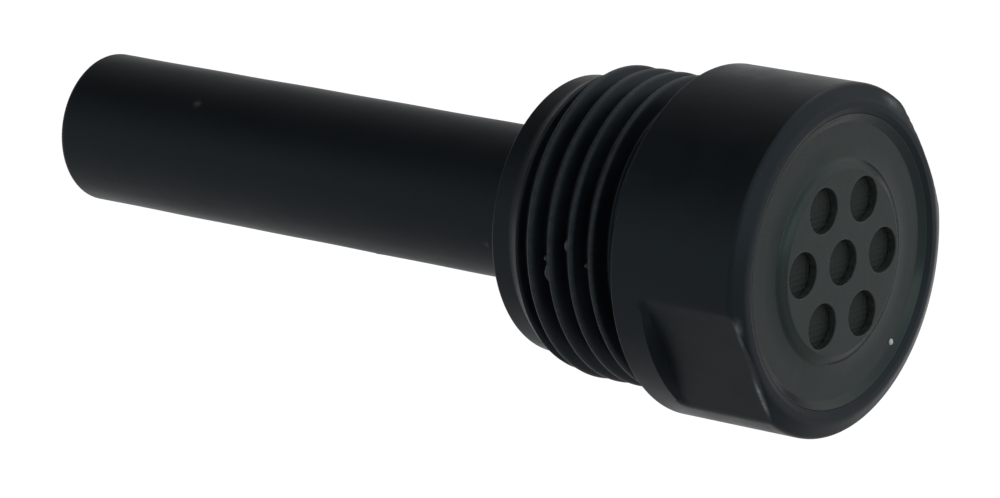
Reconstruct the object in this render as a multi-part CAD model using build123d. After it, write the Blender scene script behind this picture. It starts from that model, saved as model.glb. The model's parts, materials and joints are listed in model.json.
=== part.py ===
from build123d import *
import math
import os

# Pneumatic muffler with a G 3/8 male thread. Millimetres.
# The axis is +X, from the closed end of the absorber tube to the outlet face.
# The origin is the centre of the head's seating face, the one that meets the port.

# Thread: G 3/8, parallel, 19 turns per inch, 55 degree flanks
THREAD_MAJOR_R = 8.331
THREAD_ROOT_R = 7.475
THREAD_PITCH = 25.4 / 19
THREAD_FLANK_DEG = 27.5
THREAD_CREST_W = 0.22
THREAD_CREST_RISE = 0.06
THREAD_SINK = 0.15
THREAD_START_X = -8.05
THREAD_END_X = -0.45
THREAD_LEAD_IN = 1.40
THREAD_RUN_OUT = 1.20
THREAD_PHASE_DEG = 284.0

# Head with two spanner flats and a thin ledge where it meets the thread
HEAD_R = 9.29
HEAD_EDGE_X = 7.57
FACE_X = 7.97
FACE_OUTER_R = 8.45
FACE_INNER_R = 8.05
FLANGE_T = 2.04
HEAD_BACK_CHAMFER = 0.08
LEDGE_R = 8.36
LEDGE_T = 0.40
ACROSS_FLATS = 17.0
FLATS_NORMAL_DEG = 30.0

# Housing bores
PILOT_END_X = -9.25
PILOT_CHAMFER = 0.12
REAR_WALL_T = 1.80
CHAMBER_R = 6.30
SEAT_BORE_R = 7.74

# Absorber tube, stepped down to a spigot inside the housing
TUBE_R = 4.18
SPIGOT_R = 3.95
TUBE_BORE_R = 2.90
TUBE_FAR_X = -43.25
TUBE_EDGE_R = 0.25
TUBE_NEAR_X = -2.60
PLUG_LENGTH = 3.00

# Perforated support tube inside the absorber tube
SUPPORT_T = 0.35
SUPPORT_HOLE_R = 0.80
SUPPORT_ROWS = 9
SUPPORT_HOLES_PER_ROW = 4

# Collar that seats the tube, and its seal
COLLAR_FLANGE_T = 1.20
COLLAR_HUB_R = 5.20
COLLAR_LIP_T = 0.60
COLLAR_LIP_R = 3.00
SEAL_SECTION_R = 0.75

# Stack behind the outlet
BAFFLE_T = 0.80
BAFFLE_HOLE_R = 0.70
BAFFLE_RINGS = ((0.0, 1), (2.3, 6), (4.6, 12))
FELT_T = 1.60
SCREEN_T = 0.15
SCREEN_R = 4.95
SCREEN_HOLE_R = 0.30
SCREEN_HOLE_STEP = 1.00

# Diffuser plate, pressed from sheet
PLATE_T = 0.45
BOSS_X = 7.95
PLATE_FRONT_X = 7.57
BOSS_R = 5.05
BOSS_FOOT_R = 6.45
OUTLET_HOLE_R = 1.20
OUTLET_CIRCLE_R = 3.51
OUTLET_COUNT = 6

# Retaining ring, and the bevel that it shares with the rim
RING_INNER_R = 7.29
RING_TOP_X = 7.84

# Clearances
SLIP = 0.02

CHAMBER_X = PILOT_END_X + REAR_WALL_T
SEAL_X = CHAMBER_X + SEAL_SECTION_R
COLLAR_X = CHAMBER_X + 2 * SEAL_SECTION_R
COLLAR_END_X = TUBE_NEAR_X + COLLAR_LIP_T
SCREEN_END_X = BOSS_X - PLATE_T
FELT_PAD_X = SCREEN_END_X - SCREEN_T
FELT_END_X = PLATE_FRONT_X - PLATE_T
BAFFLE_END_X = FELT_END_X - FELT_T
SHOULDER_X = BAFFLE_END_X - BAFFLE_T
DISC_R = SEAT_BORE_R - SLIP


def turned(points):
    """Solid of revolution about X from (x, radius) points."""
    return revolve(Plane.XZ * make_face(Polyline(*points, close=True)), Axis.X)


def sleeve(x0, x1, inner_r, outer_r):
    """Plain tube or disc between two stations on the axis."""
    return turned([(x0, inner_r), (x1, inner_r), (x1, outer_r), (x0, outer_r)])


def drill(x0, x1, radius, y, z):
    """Cylinder along X, for a hole at (y, z)."""
    return Pos((x0 + x1) / 2, y, z) * Rot(0, 90, 0) * Cylinder(radius, x1 - x0)


def circle_points(radius, count):
    """Evenly spaced (y, z) places, the first on +Y."""
    angles = [2 * math.pi * i / count for i in range(count)]
    return [(radius * math.cos(a), radius * math.sin(a)) for a in angles]


def thread_ridge():
    """Right-hand helical ridge with a rounded crest, trimmed at both ends."""
    start_x = THREAD_START_X - THREAD_PITCH
    turns_length = THREAD_END_X - start_x + THREAD_PITCH
    helix = Helix(THREAD_PITCH, turns_length, THREAD_ROOT_R, center=(start_x, 0, 0), direction=(1, 0, 0))
    start = helix @ 0
    radial = Vector(0, start.Y, start.Z).normalized()
    section_plane = Plane(origin=start, x_dir=Vector(1, 0, 0), z_dir=Vector(1, 0, 0).cross(radial))
    depth = THREAD_MAJOR_R - THREAD_ROOT_R
    side = THREAD_CREST_W / 2
    flank = math.tan(math.radians(THREAD_FLANK_DEG))
    foot = side + (depth + THREAD_SINK) * flank
    shoulder = depth - THREAD_CREST_RISE
    crest_side = side + THREAD_CREST_RISE * flank
    outline = Polyline((-crest_side, shoulder), (-foot, -THREAD_SINK), (foot, -THREAD_SINK), (crest_side, shoulder))
    crest = ThreePointArc((crest_side, shoulder), (0, depth), (-crest_side, shoulder))
    section = section_plane * make_face(Curve() + [outline, crest])
    ridge = sweep(section, path=helix, is_frenet=True)
    ridge = Rot(THREAD_PHASE_DEG, 0, 0) * ridge
    envelope = turned([
        (THREAD_START_X, 0),
        (THREAD_START_X, THREAD_ROOT_R - 0.01),
        (THREAD_START_X + THREAD_LEAD_IN, THREAD_MAJOR_R + 0.02),
        (THREAD_END_X - THREAD_RUN_OUT, THREAD_MAJOR_R + 0.02),
        (THREAD_END_X, THREAD_ROOT_R - 0.01),
        (THREAD_END_X, 0),
    ])
    return ridge & envelope


def housing():
    """Moulded head, thread and port collar in one piece, bored through in steps."""
    outside = turned([
        (PILOT_END_X, 0),
        (PILOT_END_X, THREAD_ROOT_R - PILOT_CHAMFER),
        (PILOT_END_X + PILOT_CHAMFER, THREAD_ROOT_R),
        (-LEDGE_T, THREAD_ROOT_R),
        (-LEDGE_T, LEDGE_R),
        (0, LEDGE_R),
        (0, HEAD_R - HEAD_BACK_CHAMFER),
        (HEAD_BACK_CHAMFER, HEAD_R),
        (HEAD_EDGE_X, HEAD_R),
        (FACE_X, FACE_OUTER_R),
        (FACE_X, 0),
    ])
    body = outside
    for side_deg in (0, 180):
        length = FACE_X - FLANGE_T + 1
        cutter = Pos(FLANGE_T + length / 2, ACROSS_FLATS / 2 + HEAD_R / 2, 0) * Box(length, HEAD_R, 3 * HEAD_R)
        body -= Rot(FLATS_NORMAL_DEG + side_deg, 0, 0) * cutter
    body += thread_ridge()
    body -= sleeve(PILOT_END_X - 1, CHAMBER_X + 1, 0, SPIGOT_R + SLIP)
    body -= sleeve(CHAMBER_X, SHOULDER_X, 0, CHAMBER_R)
    body -= sleeve(SHOULDER_X, FACE_X + 1, 0, SEAT_BORE_R)
    body -= turned([(RING_TOP_X, 0), (RING_TOP_X, SEAT_BORE_R), (FACE_X, FACE_INNER_R), (FACE_X, 0)])
    return body


def absorber_tube():
    """Long porous tube with a softly rounded far end and a spigot at the other."""
    tube = turned([
        (TUBE_FAR_X, TUBE_BORE_R),
        (TUBE_NEAR_X, TUBE_BORE_R),
        (TUBE_NEAR_X, SPIGOT_R),
        (PILOT_END_X, SPIGOT_R),
        (PILOT_END_X, TUBE_R),
        (TUBE_FAR_X, TUBE_R),
    ])
    far_rim = tube.edges().filter_by(GeomType.CIRCLE).group_by(Axis.X)[0].sort_by(SortBy.RADIUS)[-1]
    return fillet(far_rim, TUBE_EDGE_R)


def tube_end_plug():
    """Plug that closes the far end of the tube, flush with it."""
    return sleeve(TUBE_FAR_X, TUBE_FAR_X + PLUG_LENGTH, 0, TUBE_BORE_R - SLIP)


def support_tube():
    """Thin perforated tube that backs the porous tube from inside."""
    x0 = TUBE_FAR_X + PLUG_LENGTH
    x1 = TUBE_NEAR_X
    outer_r = TUBE_BORE_R - SLIP
    body = sleeve(x0, x1, outer_r - SUPPORT_T, outer_r)
    step = (x1 - x0) / SUPPORT_ROWS
    half_turn = 180 / SUPPORT_HOLES_PER_ROW
    pins = []
    for row in range(SUPPORT_ROWS):
        x = x0 + step * (row + 0.5)
        for i in range(SUPPORT_HOLES_PER_ROW // 2):
            turn = 2 * half_turn * i + (row % 2) * half_turn
            pins.append(Pos(x, 0, 0) * Rot(turn, 0, 0) * Cylinder(SUPPORT_HOLE_R, 3 * outer_r))
    return body - pins


def tube_collar():
    """Flanged collar that grips the tube's spigot and stops it with an inner lip."""
    grip_r = SPIGOT_R + SLIP
    return turned([
        (COLLAR_X, grip_r),
        (TUBE_NEAR_X, grip_r),
        (TUBE_NEAR_X, COLLAR_LIP_R),
        (COLLAR_END_X, COLLAR_LIP_R),
        (COLLAR_END_X, COLLAR_HUB_R),
        (COLLAR_X + COLLAR_FLANGE_T, COLLAR_HUB_R),
        (COLLAR_X + COLLAR_FLANGE_T, CHAMBER_R - SLIP),
        (COLLAR_X, CHAMBER_R - SLIP),
    ])


def collar_seal():
    """O-ring round the spigot, between the housing's rear wall and the collar."""
    centre_r = SPIGOT_R + SLIP + SEAL_SECTION_R
    return Pos(SEAL_X, 0, 0) * Rot(0, 90, 0) * Torus(centre_r, SEAL_SECTION_R - SLIP)


def foam_insert():
    """Open-cell plug that fills the expansion chamber."""
    return sleeve(COLLAR_END_X, SHOULDER_X, 0, CHAMBER_R - SLIP)


def baffle_disc():
    """Perforated disc on the chamber's shoulder."""
    body = sleeve(SHOULDER_X, BAFFLE_END_X, 0, DISC_R)
    places = [place for radius, count in BAFFLE_RINGS for place in circle_points(radius, count)]
    return body - [drill(SHOULDER_X - 1, BAFFLE_END_X + 1, BAFFLE_HOLE_R, y, z) for y, z in places]


def felt_disc():
    """Needled felt disc that swells into the plate's hollow and backs the screen."""
    return turned([
        (BAFFLE_END_X, 0),
        (BAFFLE_END_X, DISC_R),
        (FELT_END_X, DISC_R),
        (FELT_END_X, SCREEN_R),
        (FELT_PAD_X, SCREEN_R),
        (FELT_PAD_X, 0),
    ])


def outlet_screen():
    """Thin screen in the boss's hollow that keeps the felt out of the outlet holes."""
    body = sleeve(FELT_PAD_X, SCREEN_END_X, 0, SCREEN_R)
    reach = OUTLET_CIRCLE_R + OUTLET_HOLE_R
    rows = int(reach / SCREEN_HOLE_STEP)
    grid = [SCREEN_HOLE_STEP * i for i in range(-rows, rows + 1)]
    places = [(y, z) for y in grid for z in grid if math.hypot(y, z) < reach]
    return body - [drill(FELT_PAD_X - 1, SCREEN_END_X + 1, SCREEN_HOLE_R, y, z) for y, z in places]


def shoulder_curve(x_top, x_foot):
    """Soft S from the boss's edge down to the moat, as two tangent arcs."""
    middle = ((x_top + x_foot) / 2, (BOSS_R + BOSS_FOOT_R) / 2)
    top_round = TangentArc((x_top, BOSS_R), middle, tangent=(0, 1))
    foot_round = TangentArc(middle, (x_foot, BOSS_FOOT_R), tangent=top_round % 1)
    return [top_round, foot_round]


def diffuser_plate():
    """Pressed outlet plate with a low soft-edged boss and seven holes."""
    back_boss_x = BOSS_X - PLATE_T
    back_moat_x = PLATE_FRONT_X - PLATE_T
    front = shoulder_curve(BOSS_X, PLATE_FRONT_X)
    back = shoulder_curve(back_boss_x, back_moat_x)
    rim = Polyline(
        (PLATE_FRONT_X, BOSS_FOOT_R), (PLATE_FRONT_X, DISC_R), (back_moat_x, DISC_R), (back_moat_x, BOSS_FOOT_R))
    middle = Polyline((back_boss_x, BOSS_R), (back_boss_x, 0), (BOSS_X, 0), (BOSS_X, BOSS_R))
    body = revolve(Plane.XZ * make_face(Curve() + [*front, rim, *back, middle]), Axis.X)
    places = [(0, 0)] + circle_points(OUTLET_CIRCLE_R, OUTLET_COUNT)
    return body - [drill(back_boss_x - 1, BOSS_X + 1, OUTLET_HOLE_R, y, z) for y, z in places]


def retaining_ring():
    """Bevelled ring pressed into the rim to hold the plate."""
    return turned([(PLATE_FRONT_X, RING_INNER_R), (PLATE_FRONT_X, DISC_R), (RING_TOP_X, DISC_R)])


PIECES = {
    "housing": housing,
    "absorber_tube": absorber_tube,
    "tube_end_plug": tube_end_plug,
    "support_tube": support_tube,
    "tube_collar": tube_collar,
    "collar_seal": collar_seal,
    "foam_insert": foam_insert,
    "baffle_disc": baffle_disc,
    "felt_disc": felt_disc,
    "outlet_screen": outlet_screen,
    "diffuser_plate": diffuser_plate,
    "retaining_ring": retaining_ring,
}

os.makedirs("parts", exist_ok=True)
for node, make in PIECES.items():
    shape = make()
    export_step(shape, f"parts/{node}.step")
    print(node, len(shape.solids()), round(shape.volume, 2), shape.is_valid)
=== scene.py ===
import json
import math
import bmesh
import bpy
import numpy as np
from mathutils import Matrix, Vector


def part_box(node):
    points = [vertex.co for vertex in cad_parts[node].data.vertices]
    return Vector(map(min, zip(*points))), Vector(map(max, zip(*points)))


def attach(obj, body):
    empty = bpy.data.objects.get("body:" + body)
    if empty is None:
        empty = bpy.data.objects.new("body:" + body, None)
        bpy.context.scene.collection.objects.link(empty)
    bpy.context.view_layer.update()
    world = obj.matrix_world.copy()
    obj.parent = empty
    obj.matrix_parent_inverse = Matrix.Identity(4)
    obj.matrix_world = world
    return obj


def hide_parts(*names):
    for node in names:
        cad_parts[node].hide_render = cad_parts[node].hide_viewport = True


# Pneumatic muffler. Shapes are worked out in millimetres, along and round the axis +X, and are
# written in metres.
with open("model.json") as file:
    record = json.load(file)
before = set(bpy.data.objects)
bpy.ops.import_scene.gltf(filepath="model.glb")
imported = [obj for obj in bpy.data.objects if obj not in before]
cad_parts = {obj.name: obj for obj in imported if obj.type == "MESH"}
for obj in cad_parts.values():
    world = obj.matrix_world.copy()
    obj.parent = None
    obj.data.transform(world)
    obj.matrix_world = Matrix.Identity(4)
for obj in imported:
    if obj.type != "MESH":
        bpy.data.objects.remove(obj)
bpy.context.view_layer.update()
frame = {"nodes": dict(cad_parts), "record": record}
MM = 0.001

# ---------------------------------------------------------------- sizes


def span(node):
    """Lowest x, highest x and outer radius of a CAD node, in millimetres."""
    low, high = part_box(node)
    return low.x / MM, high.x / MM, high.z / MM


PILOT_X, FACE_X, HEAD_R = span("housing")
TUBE_FAR_X, TUBE_NEAR_X, TUBE_R = span("absorber_tube")
PLUG_X0, PLUG_X1, PLUG_R = span("tube_end_plug")
PLATE_BACK_X, BOSS_X, PLATE_R = span("diffuser_plate")
MOAT_X, RING_TOP_X, RING_R = span("retaining_ring")
SCREEN_X0, SCREEN_X1, SCREEN_R = span("outlet_screen")
BAFFLE_X0 = span("baffle_disc")[0]
MOUNTS = {m["name"]: m for m in frame["record"]["mounts"]}
CLEARANCE = 0.02

# Points round each turned form
HOUSING_SEGMENTS = 400
TUBE_SEGMENTS = 192
PLUG_SEGMENTS = 128
RING_SEGMENTS = 256
PLATE_SEGMENTS = 256
HOLE_SEGMENTS = 72

# Thread, G 3/8
THREAD_MAJOR_R = MOUNTS["port_thread"]["dims"]["r_mm"]
THREAD_ROOT_R = 7.475
THREAD_DEPTH = THREAD_MAJOR_R - THREAD_ROOT_R
THREAD_PITCH = 25.4 / 19
THREAD_FLANK = math.tan(math.radians(27.5))
THREAD_CREST_X = -2.09
THREAD_START_X = -8.05
THREAD_END_X = -0.45
THREAD_LEAD_IN = 1.40
THREAD_RUN_OUT = 1.20
THREAD_ROUND = 0.20
THREAD_END_ROUND = 0.05
CREST_HALF_WIDTH = 0.11
LEDGE_R = 8.36
LEDGE_T = 0.40

# Head
HEAD_EDGE_X = 7.57
FACE_OUTER_R = 8.45
FACE_INNER_R = 8.05
SEAT_BORE_R = 7.74
CHAMBER_R = 6.30
SPIGOT_R = 3.95
REAR_HOLE_R = SPIGOT_R + CLEARANCE
REAR_WALL_T = 1.80
FLAT_R = math.hypot(*[v / MM for v in MOUNTS["spanner_flat_lower"]["pos_m"][1:]])
FLAT_NORMAL = MOUNTS["spanner_flat_lower"]["axis"]
FLAT_ANGLE = math.atan2(FLAT_NORMAL[2], FLAT_NORMAL[1])
FLANGE_T = 2.04
FLAT_RUN_OUT = 0.15
FLAT_EDGE_ROUND = 0.05

# Outlet plate
PLATE_T = MOAT_X - PLATE_BACK_X
BOSS_R = 4.85
BOSS_FOOT_R = 6.45
HOLE_R = 1.20
HOLE_CIRCLE_R = 3.51
HOLE_EDGE = 0.05
RING_INNER_R = 7.29
RING_CURVE = 1.1
SPECK_R = 0.18
SPECK_AT = (4.92, -5.28)

# Rubbed edges and spots, as shares of the worn colour; on the thread crests this colour is also a
# painted highlight, and on the hole walls it makes them lighter
CREST_WEAR_AND_HIGHLIGHT = 0.09
FLAT_EDGE_WEAR = 0.07
HEAD_EDGE_WEAR = 0.03
NICK_WEAR = 0.25
TUBE_END_WEAR = 0.10
TUBE_SPECK_WEAR = 0.9
HOLE_EDGE_WEAR = 0.10
HOLE_WALL_LIGHTENING = 0.22
BOSS_EDGE_WEAR = 0.06

# Camera, as the object is seen: a long lens from the outlet side
CAMERA_AT = (0.16727, -0.22563, 0.06879)
CAMERA_AZIMUTH = 38.892
CAMERA_ELEVATION = 13.896
CAMERA_LENS = 199.3
CAMERA_SHIFT = (0.0010, 0.0024)

# Floor, in metres: its height, and half its width
FLOOR_Z = -0.045
FLOOR_HALF = 6.0

# ---------------------------------------------------------------- profiles and meshes

SHARP_ANGLE = math.radians(42)


def rounded(corners, closed=True, arc_steps=5):
    """Fillets a polyline of (x, r, fillet radius); each fillet has a support point at each end."""
    points = []
    count = len(corners)
    for i, (x, r, radius) in enumerate(corners):
        if radius == 0 or (not closed and i in (0, count - 1)):
            points.append((x, r))
            continue
        here = Vector((x, r))
        before = Vector(corners[i - 1][:2]) - here
        after = Vector(corners[(i + 1) % count][:2]) - here
        angle = before.angle(after)
        run = radius / math.tan(angle / 2)
        before.normalize()
        after.normalize()
        centre = here + (before + after).normalized() * (radius / math.sin(angle / 2))
        start = here + before * run
        end = here + after * run
        support = min(0.4 * radius, 0.05)
        points.append(tuple(start + before * support))
        for k in range(arc_steps + 1):
            spoke = (start - centre).lerp(end - centre, k / arc_steps).normalized()
            points.append(tuple(centre + spoke * radius))
        points.append(tuple(end + after * support))
    return points


def divided(points, step_at, closed=True):
    """Adds points so that no run is longer than step_at(x, r) allows."""
    result = []
    ends = points[1:] + points[:1] if closed else points[1:]
    for (x0, r0), (x1, r1) in zip(points, ends):
        step = step_at((x0 + x1) / 2, (r0 + r1) / 2)
        pieces = max(1, math.ceil(math.hypot(x1 - x0, r1 - r0) / step - 1e-6))
        for k in range(pieces):
            t = k / pieces
            result.append((x0 + (x1 - x0) * t, r0 + (r1 - r0) * t))
    if not closed:
        result.append(points[-1])
    return result


def ring_grid(profile, segments, radius_at=None):
    """Points of a turned form as an array (station, segment, xyz), in millimetres."""
    x = np.array([p[0] for p in profile])[:, None]
    r = np.array([p[1] for p in profile])[:, None]
    phi = (np.arange(segments) * 2 * np.pi / segments)[None, :]
    x, r, phi = np.broadcast_arrays(x, r, phi)
    if radius_at:
        r = radius_at(x, r, phi)
    return np.stack([x, r * np.cos(phi), r * np.sin(phi)], -1)


def grid_faces(rows, columns, closed):
    """Quads of a grid that wraps round its columns, and round its rows if closed."""
    faces = []
    for k in range(rows if closed else rows - 1):
        a = k * columns
        b = ((k + 1) % rows) * columns
        for j in range(columns):
            n = (j + 1) % columns
            faces.append((a + j, a + n, b + n, b + j))
    return faces


def mesh_from(work, name):
    """Smooth mesh from a bmesh, which is freed, with outward normals and its sharp edges marked."""
    bmesh.ops.recalc_face_normals(work, faces=work.faces)
    mesh = bpy.data.meshes.new(name)
    work.to_mesh(mesh)
    work.free()
    mesh.polygons.foreach_set("use_smooth", [True] * len(mesh.polygons))
    mesh.set_sharp_from_angle(angle=SHARP_ANGLE)
    return mesh


def object_from(mesh, material, wear_and_highlight):
    """Object in the scene, with its material and how much of the worn colour each of its points
    takes: wear, and on the thread crests a painted highlight.
    """
    mark = mesh.attributes.new("wear_and_highlight", "FLOAT", "POINT")
    mark.data.foreach_set("value", np.asarray(wear_and_highlight, np.float32))
    mesh.materials.append(material)
    piece = bpy.data.objects.new(mesh.name, mesh)
    bpy.context.scene.collection.objects.link(piece)
    return piece


def make_object(name, points, faces, material, wear_and_highlight=None):
    """Mesh object from millimetre points and faces."""
    draft = bpy.data.meshes.new(name + "_draft")
    draft.from_pydata((np.asarray(points, float).reshape(-1, 3) * MM).tolist(), [], faces)
    work = bmesh.new()
    work.from_mesh(draft)
    bpy.data.meshes.remove(draft)
    mesh = mesh_from(work, name)
    return object_from(mesh, material, np.zeros(len(mesh.vertices)) if wear_and_highlight is None else wear_and_highlight)


def lathe(name, profile, segments, material, radius_at=None, wear_and_highlight_at=None):
    """Turned piece from a closed profile, or from an open one that starts and ends on the axis."""
    on_axis = profile[0][1] == 0
    body = profile[1:-1] if on_axis else profile
    grid = ring_grid(body, segments, radius_at)
    faces = grid_faces(len(body), segments, closed=not on_axis)
    points = grid.reshape(-1, 3)
    wear_and_highlight = wear_and_highlight_at(grid) if wear_and_highlight_at else np.zeros(grid.shape[:2])
    wear_and_highlight = wear_and_highlight.ravel()
    if on_axis:
        first = len(points)
        last_ring = (len(body) - 1) * segments
        points = np.vstack([points, [[profile[0][0], 0, 0], [profile[-1][0], 0, 0]]])
        wear_and_highlight = np.append(wear_and_highlight, [0, 0])
        for j in range(segments):
            n = (j + 1) % segments
            faces.append((first, n, j))
            faces.append((first + 1, last_ring + j, last_ring + n))
    return make_object(name, points, faces, material, wear_and_highlight)


def soft_min(a, b, width):
    """Smaller of two values, with the corner between them rounded."""
    h = np.clip(0.5 + 0.5 * (b - a) / width, 0, 1)
    return b * (1 - h) + a * h - width * h * (1 - h)


def bump_at(value, centre, width):
    """Bell curve."""
    return np.exp(-((value - centre) / width) ** 2)


def wrapped(angle):
    """Angle brought into -pi to pi."""
    return (angle + np.pi) % (2 * np.pi) - np.pi


# ---------------------------------------------------------------- materials


def tree_for(name):
    """New material: its node tree, its shader, and object coordinates in millimetres."""
    material = bpy.data.materials.new(name)
    material.use_nodes = True
    tree = material.node_tree
    shader = tree.nodes["Principled BSDF"]
    place = tree.nodes.new("ShaderNodeTexCoord")
    scale = tree.nodes.new("ShaderNodeVectorMath")
    scale.operation = "SCALE"
    scale.inputs["Scale"].default_value = 1 / MM
    tree.links.new(place.outputs["Object"], scale.inputs[0])
    return material, tree, shader, scale.outputs[0]


def noise(tree, where, scale, detail=3.0, roughness=0.5):
    """Noise from 0 to 1, with scale in features per millimetre."""
    node = tree.nodes.new("ShaderNodeTexNoise")
    node.inputs["Scale"].default_value = scale
    node.inputs["Detail"].default_value = detail
    node.inputs["Roughness"].default_value = roughness
    tree.links.new(where, node.inputs["Vector"])
    return node.outputs["Fac"]


def cells(tree, where, scale):
    """Distance to the nearest cell centre."""
    node = tree.nodes.new("ShaderNodeTexVoronoi")
    node.inputs["Scale"].default_value = scale
    tree.links.new(where, node.inputs["Vector"])
    return node.outputs["Distance"]


def stretched(tree, where, factors):
    """Coordinates scaled differently along each axis, for streaks."""
    node = tree.nodes.new("ShaderNodeMapping")
    node.inputs["Scale"].default_value = factors
    tree.links.new(where, node.inputs["Vector"])
    return node.outputs[0]


def mapped(tree, value, low, high, out_low, out_high):
    """Value carried from one range to another and clamped."""
    node = tree.nodes.new("ShaderNodeMapRange")
    limits = {"From Min": low, "From Max": high, "To Min": out_low, "To Max": out_high}
    for key, number in limits.items():
        node.inputs[key].default_value = number
    tree.links.new(value, node.inputs["Value"])
    return node.outputs["Result"]


def maths(tree, operation, first, second=0.0):
    """Maths node; second may be a socket or a number, and one-input operations ignore it."""
    node = tree.nodes.new("ShaderNodeMath")
    node.operation = operation
    tree.links.new(first, node.inputs[0])
    if isinstance(second, (int, float)):
        node.inputs[1].default_value = second
    else:
        tree.links.new(second, node.inputs[1])
    return node.outputs[0]


def blended(tree, factor, first, second):
    """Colour that goes from first to second; each is a colour or a socket."""
    node = tree.nodes.new("ShaderNodeMix")
    node.data_type = "RGBA"
    tree.links.new(factor, node.inputs["Factor"])
    for key, colour in ((6, first), (7, second)):
        if isinstance(colour, tuple):
            node.inputs[key].default_value = (*colour, 1)
        else:
            tree.links.new(colour, node.inputs[key])
    return node.outputs[2]


def wear_and_highlight_mask(tree, where):
    """The mesh's mark of wear and of painted highlight, broken up by noise."""
    mark = tree.nodes.new("ShaderNodeAttribute")
    mark.attribute_name = "wear_and_highlight"
    grit = mapped(tree, noise(tree, where, 3.0, 5.0, 0.65), 0.35, 0.65, 0.35, 1.0)
    return maths(tree, "MULTIPLY", mark.outputs["Fac"], grit)


def relief(tree, shader, heights):
    """Chains (height socket, depth in millimetres) pairs into the shader's normal."""
    normal = None
    for height, depth in heights:
        node = tree.nodes.new("ShaderNodeBump")
        node.inputs["Strength"].default_value = 1.0
        node.inputs["Distance"].default_value = depth * MM
        tree.links.new(height, node.inputs["Height"])
        if normal:
            tree.links.new(normal, node.inputs["Normal"])
        normal = node.outputs["Normal"]
    tree.links.new(normal, shader.inputs["Normal"])


def plastic(name, dark, light, worn_and_highlight, gloss, grain, specular, tint, streak=(1.0, 1.0, 1.0)):
    """Moulded plastic: mottled colour, uneven gloss, fine grain, orange peel, and rubbed edges and
    painted highlights in the worn colour.

    gloss is the lowest and highest roughness, grain the depth of the fine grain in millimetres.
    """
    material, tree, shader, where = tree_for(name)
    cloud = noise(tree, stretched(tree, where, streak), 0.45, 4.0, 0.55)
    speck = noise(tree, where, 7.0, 2.0, 0.5)
    tone = maths(
        tree, "ADD", maths(tree, "MULTIPLY", cloud, 0.75), maths(tree, "MULTIPLY", speck, 0.25))
    colour = blended(tree, mapped(tree, tone, 0.35, 0.65, 0.0, 1.0), dark, light)
    mask = wear_and_highlight_mask(tree, where)
    tree.links.new(blended(tree, mask, colour, worn_and_highlight), shader.inputs["Base Color"])
    rough = mapped(tree, tone, 0.35, 0.65, gloss[0], gloss[1])
    polish = maths(tree, "MULTIPLY", mask, -0.06)
    tree.links.new(maths(tree, "ADD", rough, polish), shader.inputs["Roughness"])
    shader.inputs["Specular IOR Level"].default_value = specular
    shader.inputs["Specular Tint"].default_value = (*tint, 1)
    peel = noise(tree, where, 0.9, 2.0, 0.4)
    fine = noise(tree, where, 11.0, 3.0, 0.6)
    relief(tree, shader, [(peel, 0.012), (fine, grain)])
    return material


def rubber(name, dark, light):
    """Matt rubber with a fine grain."""
    material, tree, shader, where = tree_for(name)
    cloud = noise(tree, where, 0.8, 4.0, 0.6)
    tree.links.new(blended(tree, cloud, dark, light), shader.inputs["Base Color"])
    tree.links.new(mapped(tree, cloud, 0.3, 0.7, 0.55, 0.8), shader.inputs["Roughness"])
    relief(tree, shader, [(noise(tree, where, 14.0, 2.0, 0.5), 0.004)])
    return material


def steel(name, dark, light):
    """Rolled or drawn steel with fine lines along the axis."""
    material, tree, shader, where = tree_for(name)
    lines = noise(tree, stretched(tree, where, (0.4, 6.0, 6.0)), 2.0, 4.0, 0.6)
    tree.links.new(blended(tree, lines, dark, light), shader.inputs["Base Color"])
    tree.links.new(mapped(tree, lines, 0.3, 0.7, 0.28, 0.5), shader.inputs["Roughness"])
    shader.inputs["Metallic"].default_value = 1.0
    relief(tree, shader, [(lines, 0.003)])
    return material


def felt(name, dark, light, scale, depth):
    """Matted fibre or open foam: cells and fuzz."""
    material, tree, shader, where = tree_for(name)
    fuzz = noise(tree, where, scale, 6.0, 0.7)
    pores = cells(tree, where, scale * 0.7)
    tone = maths(tree, "MULTIPLY", fuzz, mapped(tree, pores, 0.0, 0.6, 0.4, 1.0))
    colour = blended(tree, mapped(tree, tone, 0.15, 0.6, 0.0, 1.0), dark, light)
    tree.links.new(colour, shader.inputs["Base Color"])
    tree.links.new(mapped(tree, fuzz, 0.3, 0.7, 0.8, 1.0), shader.inputs["Roughness"])
    shader.inputs["Specular IOR Level"].default_value = 0.2
    shader.inputs["Sheen Weight"].default_value = 0.15
    relief(tree, shader, [(tone, depth)])
    return material


# Colours of the reflections
BLACK_TINT = (0.62, 0.84, 1.0)
GREY_TINT = (0.74, 1.0, 0.97)
# The housing's worn colour is both rubbing and, on the thread crests, a painted highlight.
HOUSING_BLACK = plastic("housing_black", (0.0008, 0.0013, 0.0015), (0.0017, 0.0024, 0.0027),
                        (0.15, 0.17, 0.165), (0.34, 0.44), 0.0022, 0.145, BLACK_TINT)
TUBE_BLACK = plastic("tube_black", (0.0008, 0.0012, 0.0014), (0.0015, 0.0022, 0.0024),
                     (0.050, 0.060, 0.055), (0.40, 0.50), 0.0026, 0.135, BLACK_TINT,
                     streak=(0.25, 1.0, 1.0))
PLATE_GREY = plastic("plate_grey", (0.0033, 0.0048, 0.0046), (0.0058, 0.0078, 0.0075),
                     (0.060, 0.075, 0.070), (0.24, 0.31), 0.0005, 0.195, GREY_TINT)
RING_BLACK = plastic("ring_black", (0.0015, 0.0022, 0.0024), (0.0030, 0.0042, 0.0044),
                     (0.055, 0.065, 0.065), (0.20, 0.28), 0.0012, 0.22, GREY_TINT)
SCREEN_DARK = plastic("screen_dark", (0.0070, 0.0088, 0.0081), (0.0100, 0.0122, 0.0112),
                      (0.05, 0.05, 0.05), (0.55, 0.70), 0.0012, 0.14, GREY_TINT)
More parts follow.
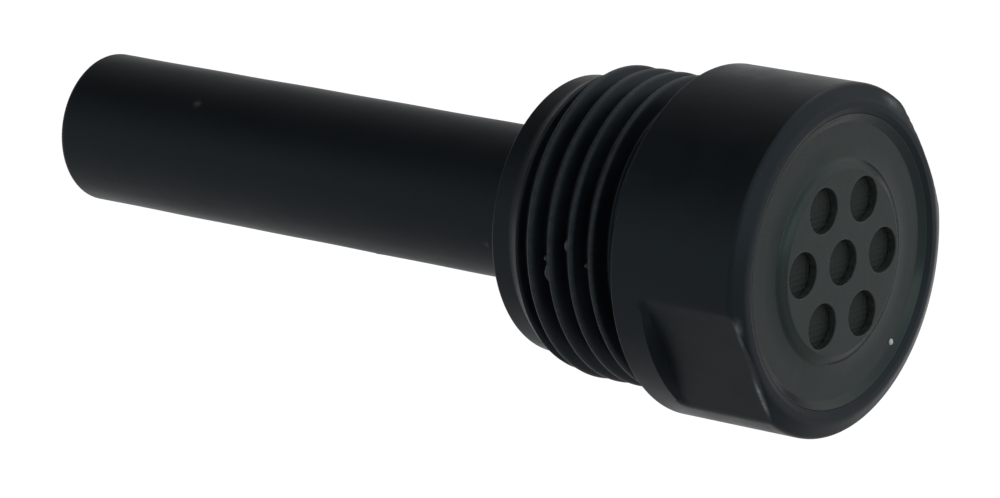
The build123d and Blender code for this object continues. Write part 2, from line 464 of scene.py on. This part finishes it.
# Pale colour for the speck on the plate: a painted highlight.
SPECK_HIGHLIGHT_PALE = plastic("speck_highlight_pale", (0.22, 0.24, 0.23), (0.30, 0.32, 0.31),
                    (0.60, 0.60, 0.60), (0.30, 0.45), 0.0010, 0.50, (1.0, 1.0, 1.0))
SEAL_RUBBER = rubber("seal_rubber", (0.008, 0.008, 0.008), (0.02, 0.02, 0.02))
INNER_STEEL = steel("inner_steel", (0.32, 0.32, 0.33), (0.55, 0.55, 0.56))
FELT_GREY = felt("felt_grey", (0.010, 0.010, 0.010), (0.06, 0.06, 0.058), 7.0, 0.05)
FOAM_GREY = felt("foam_grey", (0.02, 0.02, 0.02), (0.10, 0.10, 0.105), 3.0, 0.12)

# ---------------------------------------------------------------- housing

# Small burrs beside the thread crests: x, angle round the axis in degrees, length, strength
NICK_WIDTH = 0.13
CREST_NICKS = (
    (-5.04, -173.0, 0.55, 0.95),
    (-5.12, -178.5, 0.18, 0.85),
    (-3.74, 175.4, 0.42, 0.90),
    (-2.42, -178.6, 0.16, 1.00),
)
# Rubbed spots on the head's front edges: x, angle in degrees, length, strength
SCUFF_WIDTH = 0.10
SCUFFS = (
    (7.70, -168.2, 0.40, 0.55),
    (7.62, -163.0, 0.30, 0.30),
    (7.52, -138.5, 0.80, 1.00),
    (7.55, -133.0, 0.35, 0.55),
    (7.80, 60.0, 0.70, 0.50),
)


def thread_height(x, phi):
    """Height of the thread over its root, from the rounded form and the end tapers."""
    turn = phi / (2 * np.pi)
    crest = THREAD_CREST_X + THREAD_PITCH * (turn - 0.5)
    away = np.abs((x - crest + THREAD_PITCH / 2) % THREAD_PITCH - THREAD_PITCH / 2)
    sharp = THREAD_DEPTH + CREST_HALF_WIDTH / THREAD_FLANK - away / THREAD_FLANK
    lead = (x - THREAD_START_X) * THREAD_DEPTH / THREAD_LEAD_IN
    fade = (THREAD_END_X - x) * THREAD_DEPTH / THREAD_RUN_OUT
    cap = soft_min(soft_min(lead, fade, THREAD_END_ROUND), THREAD_DEPTH, THREAD_END_ROUND)
    height = soft_min(sharp, cap, THREAD_ROUND)
    return -soft_min(-height, np.zeros_like(height), THREAD_ROUND / 2)


def spot(x, r, phi, at_x, at_deg, length, width):
    """Bell-shaped mask at a place on the surface: length is round the axis, width along it."""
    along = (x - at_x) / width
    around = r * wrapped(phi - math.radians(at_deg)) / length
    return np.exp(-(along ** 2 + around ** 2))


# Further out than any surface, and the least cosine that the flats are divided by
FAR = 99.0
LEAST_LEAN = 0.2


def flat_distance(x):
    """How far from the axis the flats' surface is; they end at the flange in a curved run-out."""
    into = np.clip((x - FLANGE_T) / FLAT_RUN_OUT, 0, 1)
    rise = FLAT_RUN_OUT * (1 - np.sqrt(np.clip(1 - (1 - into) ** 2, 0, 1)))
    return np.where(x < FLANGE_T, FAR, FLAT_R + rise)


def housing_radius(x, r, phi):
    """Turned radius with the thread added and the flats cut."""
    neck = (x > THREAD_START_X - 0.3) & (x < -LEDGE_T) & (np.abs(r - THREAD_ROOT_R) < 1e-6)
    height = thread_height(x, phi)
    for at_x, at_deg, length, strength in CREST_NICKS:
        burr = spot(x, THREAD_MAJOR_R, phi, at_x, at_deg, length, NICK_WIDTH)
        height = height + (THREAD_DEPTH - height) * strength * burr
    r = np.where(neck, r + height, r)
    lean = np.cos(wrapped(2 * (phi - FLAT_ANGLE)) / 2)
    cut = flat_distance(x) / np.maximum(np.abs(lean), LEAST_LEAN)
    return np.where(r > SEAT_BORE_R + CLEARANCE, soft_min(r, cut, FLAT_EDGE_ROUND), r)


def housing_wear_and_highlight(grid):
    """Where the housing takes the worn colour: rubbed front edges and a few spots, and on the
    crests rubbing plus a painted highlight.
    """
    x = grid[..., 0]
    r = np.hypot(grid[..., 1], grid[..., 2])
    phi = np.arctan2(grid[..., 2], grid[..., 1])
    # Thread crests: rubbing plus a painted highlight.
    crest = (x < -0.5) * np.clip((r - THREAD_MAJOR_R + 0.16) / 0.16, 0, 1) * CREST_WEAR_AND_HIGHLIGHT
    lean = np.abs(np.cos(wrapped(2 * (phi - FLAT_ANGLE)) / 2))
    on_flat = (x > FLANGE_T) * bump_at(r * lean, FLAT_R, 0.03)
    flat_front = on_flat * bump_at(x, HEAD_EDGE_X + 0.05, 0.12) * FLAT_EDGE_WEAR
    front_edge = bump_at(x, HEAD_EDGE_X, 0.08) * bump_at(r, HEAD_R, 0.10) * HEAD_EDGE_WEAR
    face_edge = bump_at(x, FACE_X, 0.05) * bump_at(r, FACE_OUTER_R, 0.08) * HEAD_EDGE_WEAR
    wear_and_highlight = crest + flat_front + front_edge + face_edge
    for at_x, at_deg, length, strength in SCUFFS:
        rub = spot(x, r, phi, at_x, at_deg, length, SCUFF_WIDTH)
        wear_and_highlight = wear_and_highlight + strength * rub * (r > FACE_OUTER_R - 0.1)
    for at_x, at_deg, length, strength in CREST_NICKS:
        rub = spot(x, r, phi, at_x, at_deg, length, NICK_WIDTH)
        wear_and_highlight = wear_and_highlight + NICK_WEAR * strength * rub * (x < 0)
    return np.clip(wear_and_highlight, 0, 1)


# Longest runs allowed along the housing's profile
INSIDE_STEP = 1.0
THREAD_STEP = 0.055
RUN_OUT_STEP = 0.02
HEAD_STEP = 0.22
SEAT_STEP = 0.6


def housing_step(x, r):
    """Longest run allowed at a place on the housing's profile."""
    if r < THREAD_ROOT_R - 0.4:
        return INSIDE_STEP
    if x < 0:
        return THREAD_STEP
    if abs(x - FLANGE_T - FLAT_RUN_OUT / 2) < 2 * FLAT_RUN_OUT:
        return RUN_OUT_STEP
    return HEAD_STEP if r > SEAT_BORE_R + 0.1 else SEAT_STEP


def build_housing():
    """Head, port collar and thread in one piece."""
    chamber_x = PILOT_X + REAR_WALL_T
    corners = [
        (PILOT_X, REAR_HOLE_R, 0.05),
        (PILOT_X, THREAD_ROOT_R, 0.14),
        (-LEDGE_T, THREAD_ROOT_R, 0.05),
        (-LEDGE_T, LEDGE_R, 0.06),
        (0, LEDGE_R, 0.05),
        (0, HEAD_R, 0.10),
        (HEAD_EDGE_X, HEAD_R, 0.30),
        (FACE_X, FACE_OUTER_R, 0.70),
        (FACE_X, FACE_INNER_R, 0.12),
        (RING_TOP_X, SEAT_BORE_R, 0.02),
        (BAFFLE_X0, SEAT_BORE_R, 0),
        (BAFFLE_X0, CHAMBER_R, 0.05),
        (chamber_x, CHAMBER_R, 0.10),
        (chamber_x, REAR_HOLE_R, 0.05),
    ]
    profile = divided(rounded(corners), housing_step)
    piece = lathe(
        "housing_shell", profile, HOUSING_SEGMENTS, HOUSING_BLACK, housing_radius, housing_wear_and_highlight)
    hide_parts("housing")
    return piece


# ---------------------------------------------------------------- tube, plug, ring

# Specks on the tube: x, angle in degrees, size
TUBE_SPECK_HEIGHT = 0.04
TUBE_SPECKS = ((-33.93, 133.1, 0.16), (-12.4, 200.0, 0.10), (-22.0, 250.0, 0.12))


def tube_radius(x, r, phi):
    """Slight waviness of the tube's outside, which never passes its radius, and its specks."""
    outside = (r > TUBE_R - 0.4) & (x < PILOT_X - 0.02)
    wave = 0.006 * np.sin(x * 0.9 + 2 * phi) + 0.005 * np.sin(x * 0.37 - phi)
    for at_x, at_deg, size in TUBE_SPECKS:
        wave = wave + TUBE_SPECK_HEIGHT * spot(x, TUBE_R, phi, at_x, at_deg, size, size)
    return np.where(outside, r - 0.011 + wave, r)


def tube_wear(grid):
    """Where the tube is rubbed: its far edge and the specks."""
    x = grid[..., 0]
    r = np.hypot(grid[..., 1], grid[..., 2])
    phi = np.arctan2(grid[..., 2], grid[..., 1])
    wear_and_highlight = bump_at(x, TUBE_FAR_X + 0.1, 0.25) * (r > TUBE_R - 0.45) * TUBE_END_WEAR
    for at_x, at_deg, size in TUBE_SPECKS:
        mark = spot(x, TUBE_R, phi, at_x, at_deg, size, size)
        wear_and_highlight = wear_and_highlight + TUBE_SPECK_WEAR * mark * (r > TUBE_R - 0.4)
    return np.clip(wear_and_highlight, 0, 1)


def build_tube():
    """Plain tube, with the spigot that passes through the housing's rear wall."""
    bore_r = PLUG_R + CLEARANCE
    step_x = PILOT_X - 0.005
    corners = [
        (TUBE_FAR_X, bore_r, 0.12),
        (TUBE_FAR_X, TUBE_R, 0.35),
        (step_x, TUBE_R, 0.06),
        (step_x, SPIGOT_R, 0),
        (TUBE_NEAR_X, SPIGOT_R, 0.10),
        (TUBE_NEAR_X, bore_r, 0.05),
    ]
    profile = divided(
        rounded(corners, arc_steps=8), lambda x, r: 0.18 if r > TUBE_R - 0.1 else 1.0)
    piece = lathe("tube_sleeve", profile, TUBE_SEGMENTS, TUBE_BLACK, tube_radius, tube_wear)
    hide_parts("absorber_tube")
    return piece


def build_plug():
    """Plug in the tube's far end, with a shallow dish."""
    dish = 0.25
    corners = [
        (PLUG_X0 + dish, 0, 0),
        (PLUG_X0 + dish, PLUG_R * 0.62, 0.15),
        (PLUG_X0 + 0.02, PLUG_R * 0.74, 0.12),
        (PLUG_X0 + 0.02, PLUG_R, 0.12),
        (PLUG_X1, PLUG_R, 0.15),
        (PLUG_X1, 0, 0),
    ]
    profile = divided(rounded(corners, closed=False), lambda x, r: 0.5, closed=False)
    piece = lathe("plug_cap", profile, PLUG_SEGMENTS, TUBE_BLACK)
    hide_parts("tube_end_plug")
    return piece


def build_ring():
    """Bevelled ring between the plate and the rim; its front is a slightly hollow cone."""
    rise = RING_TOP_X - MOAT_X + 0.008
    toe_r = RING_INNER_R - 0.05
    width = RING_R - 0.02 - toe_r
    steps = 12
    profile = [(MOAT_X, RING_R)]
    for k in range(steps + 1):
        t = k / steps
        profile.append((MOAT_X - 0.01 + rise * t ** RING_CURVE, toe_r + width * t))
    profile.append((RING_TOP_X - 0.002, RING_R))
    piece = lathe("rim_ring", profile, RING_SEGMENTS, RING_BLACK)
    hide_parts("retaining_ring")
    return piece


# ---------------------------------------------------------------- outlet plate


# Shoulder from the boss to the moat: share of its width, then how steep it is there
SHOULDER_AT = (0.0, 0.02, 0.20, 0.25, 0.32, 0.40, 1.0)
SHOULDER_SLOPE = (0.0, 0.34, 0.38, 0.62, 0.62, 0.10, 0.0)


def shoulder(x_top, x_foot, steps=50):
    """Points down the boss's shoulder, from its edge to its foot."""
    share = np.linspace(0, 1, steps + 1)
    slope = np.interp(share, SHOULDER_AT, SHOULDER_SLOPE)
    fall = np.concatenate([[0], np.cumsum((slope[1:] + slope[:-1]) / 2)])
    x = x_top + (x_foot - x_top) * fall / fall[-1]
    r = BOSS_R + (BOSS_FOOT_R - BOSS_R) * share
    return list(zip(x.tolist(), r.tolist()))


def plate_outline():
    """Open profile from the boss's front edge, round the rim, to the boss's back edge."""
    back_boss_x = BOSS_X - PLATE_T
    rim = rounded([
        (MOAT_X, BOSS_FOOT_R, 0),
        (MOAT_X, PLATE_R, 0.06),
        (PLATE_BACK_X, PLATE_R, 0.06),
        (PLATE_BACK_X, BOSS_FOOT_R, 0),
    ], closed=False)
    edge_r = BOSS_R - 0.02
    front = [(BOSS_X, edge_r)] + shoulder(BOSS_X, MOAT_X)
    back = shoulder(back_boss_x, PLATE_BACK_X)[::-1] + [(back_boss_x, edge_r)]
    return front + rim[1:-1] + back


def hole_outline():
    """Open profile down one hole, with a support ring and a rounded edge at each face."""
    back_x = BOSS_X - PLATE_T
    support_r = HOLE_R + 2.2 * HOLE_EDGE
    corners = [
        (BOSS_X, support_r, 0),
        (BOSS_X, HOLE_R, HOLE_EDGE),
        (back_x, HOLE_R, HOLE_EDGE / 2),
        (back_x, support_r, 0),
    ]
    return rounded(corners, closed=False)


def add_rings(work, grid):
    """Adds a grid of rings to a bmesh and returns its first and last rings' edges."""
    rings = [[work.verts.new(point) for point in ring] for ring in grid]
    for low, high in zip(rings, rings[1:]):
        for j in range(len(low)):
            n = (j + 1) % len(low)
            work.faces.new((low[j], low[n], high[n], high[j]))
    border = []
    for ring in (rings[0], rings[-1]):
        pairs = zip(ring, ring[1:] + ring[:1])
        border.append([work.edges.get(pair) for pair in pairs])
    return border


def build_plate():
    """Outlet plate: a turned outline, seven holes, and flat faces filled in between them."""
    work = bmesh.new()
    outline = ring_grid(plate_outline(), PLATE_SEGMENTS) * MM
    front_edges, back_edges = add_rings(work, outline)
    places = [(0.0, 0.0)]
    for i in range(6):
        turn = math.radians(60 * i)
        places.append((HOLE_CIRCLE_R * math.cos(turn), HOLE_CIRCLE_R * math.sin(turn)))
    for y, z in places:
        grid = ring_grid(hole_outline(), HOLE_SEGMENTS) + np.array([0, y, z])
        front, back = add_rings(work, grid * MM)
        front_edges += front
        back_edges += back
    for edges in (front_edges, back_edges):
        bmesh.ops.triangle_fill(work, use_beauty=True, use_dissolve=False, edges=edges)
    mesh = mesh_from(work, "outlet_plate")
    where = np.array([v.co for v in mesh.vertices]) / MM
    radius = np.hypot(where[:, 1], where[:, 2])
    edge = np.zeros(len(where))
    wall = np.zeros(len(where))
    for y, z in places:
        away = np.hypot(where[:, 1] - y, where[:, 2] - z)
        edge += bump_at(away, HOLE_R + 0.04, 0.06)
        wall += away < HOLE_R + 0.01
    boss_edge = bump_at(radius, BOSS_R + 0.25, 0.2)
    # Rubbed hole edges and boss edge; the hole walls are made lighter with the worn colour.
    wear_and_highlight = edge * HOLE_EDGE_WEAR + wall * HOLE_WALL_LIGHTENING + boss_edge * BOSS_EDGE_WEAR
    piece = object_from(mesh, PLATE_GREY, np.clip(wear_and_highlight, 0, 1))
    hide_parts("diffuser_plate")
    return piece


def build_highlight_speck():
    """Small grain on the plate's low ground, coloured pale as a painted highlight."""
    work = bmesh.new()
    bmesh.ops.create_icosphere(work, subdivisions=3, radius=SPECK_R * MM)
    for vert in work.verts:
        vert.co.x = vert.co.x * 0.6 + (MOAT_X + 0.02) * MM
        vert.co.y = vert.co.y * 0.9 + SPECK_AT[0] * MM
        vert.co.z = vert.co.z + SPECK_AT[1] * MM
    mesh = mesh_from(work, "highlight_speck")
    return object_from(mesh, SPECK_HIGHLIGHT_PALE, np.zeros(len(mesh.vertices)))


# ---------------------------------------------------------------- woven screen


def build_screen():
    """Woven cloth as one closed sheet, its wires going over and under each other."""
    pitch = 0.30
    wire_r = 0.055
    sway_share = 0.55
    relief_share = 0.3
    reach = SCREEN_R - 0.05
    step = pitch / 6
    count = int(round(2 * reach / step)) + 1
    axis = np.linspace(-1, 1, count)
    u, v = np.meshgrid(axis, axis, indexing="ij")
    y = reach * u * np.sqrt(1 - v ** 2 / 2)
    z = reach * v * np.sqrt(1 - u ** 2 / 2)

    def wires(across, along):
        """Height of one set of wires over the cloth's middle."""
        number = np.round(across / pitch)
        off = across - number * pitch
        tall = np.sqrt(np.clip(wire_r ** 2 - off ** 2, 0, None))
        sway = sway_share * wire_r * np.cos(np.pi * along / pitch + np.pi * number)
        return np.where(np.abs(off) < wire_r, tall + sway, -wire_r)

    height = np.maximum(wires(y, z), wires(z, y + pitch))
    top = SCREEN_X1 - 0.6 * wire_r + relief_share * np.clip(height, -wire_r * 0.5, None)
    front = np.stack([top, y, z], -1).reshape(-1, 3)
    base = np.stack([np.full_like(y, SCREEN_X0 + 0.01), y, z], -1).reshape(-1, 3)
    points = np.vstack([front, base])
    offset = count * count
    faces = []
    for i in range(count - 1):
        for j in range(count - 1):
            a = i * count + j
            b = a + count
            c = b + 1
            d = a + 1
            faces.append((a, b, c, d))
            faces.append((offset + a, offset + d, offset + c, offset + b))
    rim = [i * count for i in range(count)]
    rim += [(count - 1) * count + j for j in range(1, count)]
    rim += [i * count + count - 1 for i in range(count - 2, -1, -1)]
    rim += [j for j in range(count - 2, 0, -1)]
    for k, a in enumerate(rim):
        b = rim[(k + 1) % len(rim)]
        faces.append((a, b, offset + b, offset + a))
    piece = make_object("screen_weave", points, faces, SCREEN_DARK)
    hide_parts("outlet_screen")
    return piece


# ---------------------------------------------------------------- put together

PIECES = (
    build_housing(),
    build_tube(),
    build_plug(),
    build_ring(),
    build_plate(),
    build_screen(),
    build_highlight_speck(),
)
for piece in PIECES:
    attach(piece, "root")

# The CAD nodes, including those that the pieces above stand in for
CAD_FINISHES = {
    "support_tube": INNER_STEEL,
    "baffle_disc": INNER_STEEL,
    "tube_collar": HOUSING_BLACK,
    "collar_seal": SEAL_RUBBER,
    "foam_insert": FOAM_GREY,
    "felt_disc": FELT_GREY,
    "housing": HOUSING_BLACK,
    "absorber_tube": TUBE_BLACK,
    "tube_end_plug": TUBE_BLACK,
    "retaining_ring": RING_BLACK,
    "diffuser_plate": PLATE_GREY,
    "outlet_screen": SCREEN_DARK,
}
for node, material in CAD_FINISHES.items():
    frame["nodes"][node].data.materials.clear()
    frame["nodes"][node].data.materials.append(material)

# ---------------------------------------------------------------- floor, light and camera


# Brightness of the surround: one row per elevation in degrees, one number per 45 degrees from +X
# toward +Y
SKY_RINGS = (5.0, 30.0, 60.0, 90.0)
SKY = (
    (3.00, 1.68, 0.07, 0.91, 0.30, 1.26, 1.19, 0.04),
    (1.47, 1.70, 1.50, 0.40, 0.12, 0.53, 1.25, 1.66),
    (1.31, 2.68, 2.79, 0.51, 0.36, 0.04, 0.04, 1.33),
    (0.17, 0.17, 0.17, 0.17, 0.17, 0.17, 0.17, 0.17),
)
# The floor is white, with a dimmer glow under the object as a painted soft shadow: metres from the
# object, and how bright the floor is there
FLOOR_NEAR = 0.045
FLOOR_FAR = 0.10
FLOOR_SHADOW_GLOW = 0.70
FLOOR_FAR_GLOW = 1.0


def bearing(tree, east, north):
    """Direction round the vertical, from 0 to 1."""
    turn = maths(tree, "DIVIDE", maths(tree, "ARCTAN2", north, east), 2 * math.pi)
    return maths(tree, "FRACT", maths(tree, "ADD", turn, 1.0))


def glow_field(tree, position, rings, turn, table):
    """Brightness read from a table: smooth between rings, and round each ring."""
    total = None
    for i, (at, row) in enumerate(zip(rings, table)):
        ramp = tree.nodes.new("ShaderNodeValToRGB")
        ramp.color_ramp.interpolation = "EASE"
        elements = ramp.color_ramp.elements
        stops = (*row, row[0])
        while len(elements) < len(stops):
            elements.new(0.5)
        for k, level in enumerate(stops):
            elements[k].position = k / len(row)
            elements[k].color = (level, level, level, 1)
        tree.links.new(turn, ramp.inputs["Fac"])
        share = ramp.outputs["Color"]
        if i > 0:
            rise = mapped(tree, position, rings[i - 1], at, 0.0, 1.0)
            share = maths(tree, "MULTIPLY", rise, share)
        if i < len(rings) - 1:
            fall = mapped(tree, position, at, rings[i + 1], 1.0, 0.0)
            share = maths(tree, "MULTIPLY", fall, share)
        total = share if total is None else maths(tree, "ADD", total, share)
    return total


def build_floor():
    """White floor, which glows so that it stays white whatever the surround is; its glow is dimmer
    under the object, a painted soft shadow.
    """
    mesh = bpy.data.meshes.new("floor")
    signs = ((-1, -1), (1, -1), (1, 1), (-1, 1))
    corners = [(FLOOR_HALF * east, FLOOR_HALF * north, FLOOR_Z) for east, north in signs]
    mesh.from_pydata(corners, [], [(0, 1, 2, 3)])
    material = bpy.data.materials.new("floor_white")
    material.use_nodes = True
    tree = material.node_tree
    shader = tree.nodes["Principled BSDF"]
    shader.inputs["Base Color"].default_value = (0.02, 0.02, 0.02, 1)
    shader.inputs["Roughness"].default_value = 0.9
    shader.inputs["Specular IOR Level"].default_value = 0.1
    shader.inputs["Emission Color"].default_value = (1, 1, 1, 1)
    place = tree.nodes.new("ShaderNodeTexCoord")
    flat = tree.nodes.new("ShaderNodeVectorMath")
    flat.operation = "MULTIPLY"
    flat.inputs[1].default_value = (1, 1, 0)
    tree.links.new(place.outputs["Object"], flat.inputs[0])
    reach = tree.nodes.new("ShaderNodeVectorMath")
    reach.operation = "LENGTH"
    tree.links.new(flat.outputs[0], reach.inputs[0])
    # Dimmer glow near the object: a painted soft shadow.
    glow = mapped(
        tree, reach.outputs["Value"], FLOOR_NEAR, FLOOR_FAR, FLOOR_SHADOW_GLOW, FLOOR_FAR_GLOW)
    tree.links.new(glow, shader.inputs["Emission Strength"])
    mesh.materials.append(material)
    floor = bpy.data.objects.new("floor", mesh)
    bpy.context.scene.collection.objects.link(floor)


def build_world():
    """Studio surround, with soft bright and dark sides."""
    world = bpy.data.worlds.new("studio")
    bpy.context.scene.world = world
    world.use_nodes = True
    tree = world.node_tree
    place = tree.nodes.new("ShaderNodeTexCoord")
    parts = tree.nodes.new("ShaderNodeSeparateXYZ")
    tree.links.new(place.outputs["Generated"], parts.inputs[0])
    turn = bearing(tree, parts.outputs[0], parts.outputs[1])
    climb = maths(tree, "DEGREES", maths(tree, "ARCSINE", parts.outputs[2]))
    back = tree.nodes["Background"]
    back.inputs["Color"].default_value = (1, 1, 1, 1)
    tree.links.new(glow_field(tree, climb, SKY_RINGS, turn, SKY), back.inputs["Strength"])


def build_camera():
    """Camera at the photograph's viewing angle."""
    data = bpy.data.cameras.new("camera")
    data.lens = CAMERA_LENS
    data.sensor_width = 36.0
    data.shift_x, data.shift_y = CAMERA_SHIFT
    data.clip_start = 0.01
    data.clip_end = 50.0
    camera = bpy.data.objects.new("camera", data)
    azimuth = math.radians(CAMERA_AZIMUTH)
    elevation = math.radians(CAMERA_ELEVATION)
    level = math.cos(elevation)
    look = Vector((-level * math.sin(azimuth), level * math.cos(azimuth), -math.sin(elevation)))
    camera.location = CAMERA_AT
    camera.rotation_euler = look.to_track_quat("-Z", "Y").to_euler()
    bpy.context.scene.collection.objects.link(camera)
    bpy.context.scene.camera = camera


build_floor()
build_world()
build_camera()
bpy.context.scene.view_settings.view_transform = "Standard"
